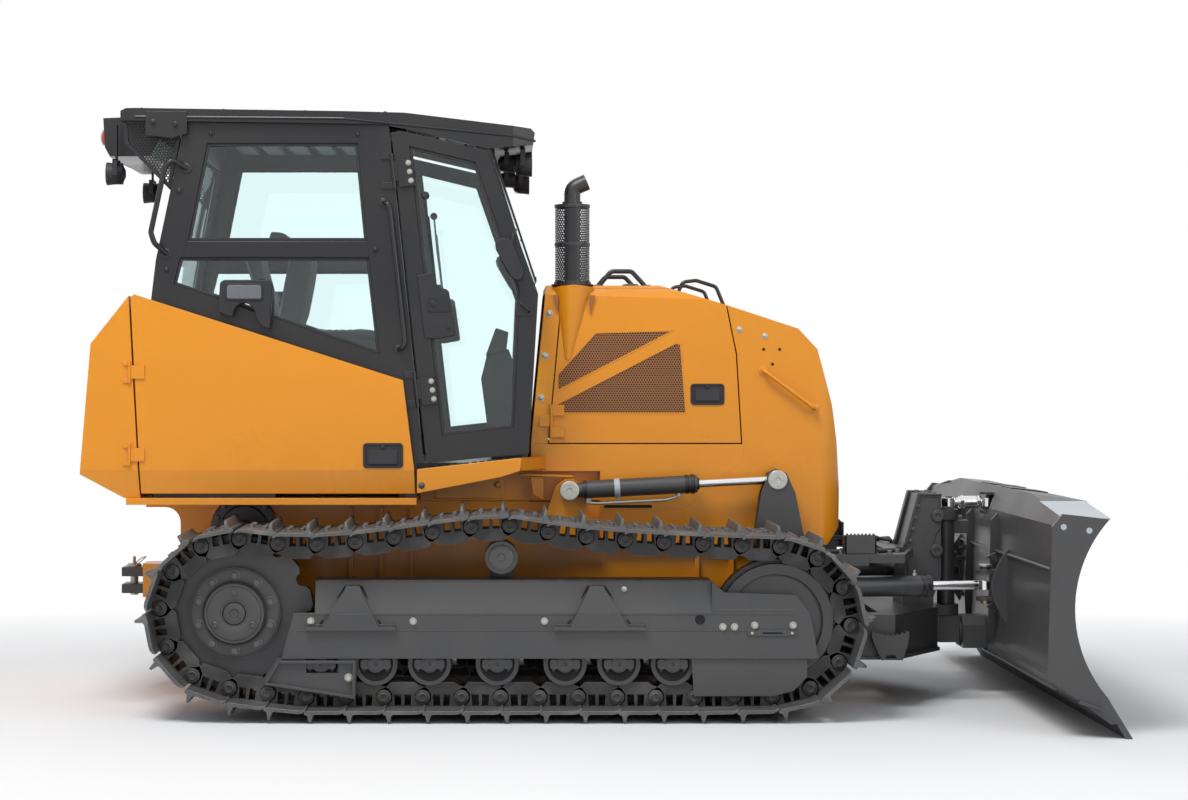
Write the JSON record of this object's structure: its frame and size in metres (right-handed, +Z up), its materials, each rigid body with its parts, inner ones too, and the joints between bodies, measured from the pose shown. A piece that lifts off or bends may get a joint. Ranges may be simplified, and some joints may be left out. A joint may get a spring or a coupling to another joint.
{
  "type": "bulldozer",
  "caption": "Crawler dozer with enclosed cab, six-way blade on an inside push frame, and hinged cab, engine and side doors.",
  "frame": {"origin": "on the ground under the centre of the whole machine's box, blade included", "axes": "+X forward, +Y to the machine's left, +Z up"},
  "size_m": [4.516, 3.2, 2.716],
  "materials": {
    "orange_paint": "semi-gloss paint",
    "dark_paint": "satin charcoal paint",
    "black_paint": "satin black paint",
    "undercarriage": "charcoal paint, dusty",
    "track_steel": "worn steel",
    "edge_steel": "worn steel",
    "chrome": "hard chrome",
    "exhaust_steel": "heat-resistant black paint",
    "engine_grey": "painted casting",
    "black_plastic": "moulded plastic",
    "seat_cloth": "woven cloth",
    "glass": "tinted safety glass"
  },
  "bodies": {
    "chassis": {"track_r": "track_steel", "track_l": "track_steel", "sprocket_r": "undercarriage", "sprocket_l": "undercarriage", "track_wheels_r": "undercarriage", "track_wheels_l": "undercarriage", "track_frame_r": "undercarriage", "track_frame_l": "undercarriage", "main_frame": "orange_paint", "deck": "orange_paint", "hood_top": "orange_paint", "hood_low": "orange_paint", "nose": "orange_paint", "cab_rear": "black_paint", "cab_front": "black_paint", "cab_floor": "black_paint", "cab_glass": "glass", "roof": "black_paint", "rear_tank": "orange_paint", "equipment": "black_paint", "exhaust": "exhaust_steel", "engine": "engine_grey", "seat": "seat_cloth", "controls": "black_plastic", "work_lamps": "black_plastic", "grab_rails": "black_paint", "cab_side_r": "black_paint", "cab_side_l": "black_paint"},
    "push_frame": {"push_frame": "dark_paint"},
    "swivel": {"swivel": "dark_paint"},
    "pitch_link": {"pitch_link": "chrome"},
    "blade": {"blade": "dark_paint", "cutting_edge": "edge_steel"},
    "tilt_barrel": {"tilt_barrel": "dark_paint"},
    "tilt_rod": {"tilt_rod": "chrome"},
    "lift_barrel_r": {"lift_barrel_r": "dark_paint"},
    "lift_rod_r": {"lift_rod_r": "chrome"},
    "angle_trunnion_r": {"angle_trunnion_r": "dark_paint"},
    "angle_barrel_r": {"angle_barrel_r": "dark_paint"},
    "angle_rod_r": {"angle_rod_r": "chrome"},
    "engine_door_r": {"engine_door_r": "orange_paint"},
    "side_door_r": {"side_door_r": "orange_paint"},
    "cab_door_r": {"cab_door_r": "black_paint", "door_glass_r": "glass"},
    "lift_barrel_l": {"lift_barrel_l": "dark_paint"},
    "lift_rod_l": {"lift_rod_l": "chrome"},
    "angle_trunnion_l": {"angle_trunnion_l": "dark_paint"},
    "angle_barrel_l": {"angle_barrel_l": "dark_paint"},
    "angle_rod_l": {"angle_rod_l": "chrome"},
    "engine_door_l": {"engine_door_l": "orange_paint"},
    "side_door_l": {"side_door_l": "orange_paint"},
    "cab_door_l": {"cab_door_l": "black_paint", "door_glass_l": "glass"}
  },
  "joints": [
    {"name": "lift", "type": "hinge", "parent": "chassis", "child": "push_frame", "pos_m": [-0.226, 0, 0.43], "axis": [0, -1, 0], "range_deg": [-12, 20.5]},
    {"name": "blade_angle", "type": "hinge", "parent": "push_frame", "child": "swivel", "pos_m": [1.759, 0, 0.56], "axis": [0, 0, 1], "range_deg": [-25, 25]},
    {"name": "blade_tilt", "type": "hinge", "parent": "swivel", "child": "blade", "pos_m": [1.859, 0, 0.29], "axis": [1, 0, 0], "range_deg": [-8, 8]},
    {"name": "pitch_link_swing", "type": "hinge", "parent": "swivel", "child": "pitch_link", "pos_m": [1.774, 0, 0.909], "axis": [0, 0, 1], "range_deg": [-28.25, 28.25]},
    {"name": "tilt_cylinder_pivot", "type": "hinge", "parent": "swivel", "child": "tilt_barrel", "pos_m": [1.824, 0.095, 0.8], "axis": [1, 0, 0], "range_deg": [-9.78, 9.78]},
    {"name": "tilt_rod_slide", "type": "slide", "parent": "tilt_barrel", "child": "tilt_rod", "axis": [0, 1, 0], "range_m": [-0.0728, 0.0728]},
    {"name": "lift_cylinder_pivot_r", "type": "hinge", "parent": "chassis", "child": "lift_barrel_r", "pos_m": [-0.059, -0.553, 0.989], "axis": [0, -1, 0], "range_deg": [-16.04, 27.19]},
    {"name": "lift_rod_slide_r", "type": "slide", "parent": "lift_barrel_r", "child": "lift_rod_r", "axis": [0.9986, 0, 0.0527], "range_m": [-0.1827, 0.1078]},
    {"name": "angle_cylinder_swing_r", "type": "hinge", "parent": "push_frame", "child": "angle_trunnion_r", "pos_m": [1.134, -0.552, 0.548], "axis": [0, 0, 1], "range_deg": [-3.05, 3.05]},
    {"name": "angle_cylinder_pitch_r", "type": "hinge", "parent": "angle_trunnion_r", "child": "angle_barrel_r", "pos_m": [1.134, -0.552, 0.548], "axis": [0, -1, 0], "range_deg": [-5.04, 5.04]},
    {"name": "angle_rod_slide_r", "type": "slide", "parent": "angle_barrel_r", "child": "angle_rod_r", "axis": [0.9884, 0.1517, 0], "range_m": [-0.1931, 0.1931]},
    {"name": "cab_door_swing_r", "type": "hinge", "parent": "chassis", "child": "cab_door_r", "pos_m": [-0.798, -0.752, 1.875], "axis": [-0.1041, 0, 0.9946], "range_deg": [-85, 0]},
    {"name": "engine_door_swing_r", "type": "hinge", "parent": "chassis", "child": "engine_door_r", "pos_m": [-0.14, -0.474, 1.5], "axis": [0, 0, 1], "range_deg": [-75, 0]},
    {"name": "side_door_swing_r", "type": "hinge", "parent": "chassis", "child": "side_door_r", "pos_m": [-2.034, -0.808, 1.34], "axis": [0, 0, 1], "range_deg": [-90, 0]},
    {"name": "lift_cylinder_pivot_l", "type": "hinge", "parent": "chassis", "child": "lift_barrel_l", "pos_m": [-0.059, 0.553, 0.989], "axis": [0, -1, 0], "range_deg": [-16.04, 27.19]},
    {"name": "lift_rod_slide_l", "type": "slide", "parent": "lift_barrel_l", "child": "lift_rod_l", "axis": [0.9986, 0, 0.0527], "range_m": [-0.1827, 0.1078]},
    {"name": "angle_cylinder_swing_l", "type": "hinge", "parent": "push_frame", "child": "angle_trunnion_l", "pos_m": [1.134, 0.552, 0.548], "axis": [0, 0, 1], "range_deg": [-3.05, 3.05]},
    {"name": "angle_cylinder_pitch_l", "type": "hinge", "parent": "angle_trunnion_l", "child": "angle_barrel_l", "pos_m": [1.134, 0.552, 0.548], "axis": [0, -1, 0], "range_deg": [-5.04, 5.04]},
    {"name": "angle_rod_slide_l", "type": "slide", "parent": "angle_barrel_l", "child": "angle_rod_l", "axis": [0.9884, -0.1517, 0], "range_m": [-0.1931, 0.1931]},
    {"name": "cab_door_swing_l", "type": "hinge", "parent": "chassis", "child": "cab_door_l", "pos_m": [-0.798, 0.752, 1.875], "axis": [-0.1041, 0, 0.9946], "range_deg": [0, 85]},
    {"name": "engine_door_swing_l", "type": "hinge", "parent": "chassis", "child": "engine_door_l", "pos_m": [-0.14, 0.474, 1.5], "axis": [0, 0, 1], "range_deg": [0, 75]},
    {"name": "side_door_swing_l", "type": "hinge", "parent": "chassis", "child": "side_door_l", "pos_m": [-2.034, 0.808, 1.34], "axis": [0, 0, 1], "range_deg": [0, 90]}
  ],
  "couplings": [
    {"joint": "pitch_link_swing", "follows": "blade_tilt", "ratio": -3.4692},
    {"joint": "tilt_cylinder_pivot", "follows": "blade_tilt", "ratio": 1.185},
    {"joint": "tilt_rod_slide", "follows": "blade_tilt", "m_per_rad": -0.5073},
    {"joint": "lift_cylinder_pivot_r", "follows": "lift", "ratio": 1.3117},
    {"joint": "lift_rod_slide_r", "follows": "lift", "m_per_rad": -0.5051},
    {"joint": "angle_cylinder_swing_r", "follows": "blade_tilt", "ratio": -0.34332},
    {"joint": "angle_cylinder_pitch_r", "follows": "blade_tilt", "ratio": -0.59248},
    {"joint": "angle_rod_slide_r", "follows": "blade_angle", "m_per_rad": 0.43799},
    {"joint": "lift_cylinder_pivot_l", "follows": "lift", "ratio": 1.3117},
    {"joint": "lift_rod_slide_l", "follows": "lift", "m_per_rad": -0.5051},
    {"joint": "angle_cylinder_swing_l", "follows": "blade_tilt", "ratio": -0.34332},
    {"joint": "angle_cylinder_pitch_l", "follows": "blade_tilt", "ratio": 0.59248},
    {"joint": "angle_rod_slide_l", "follows": "blade_angle", "m_per_rad": -0.43799}
  ]
}
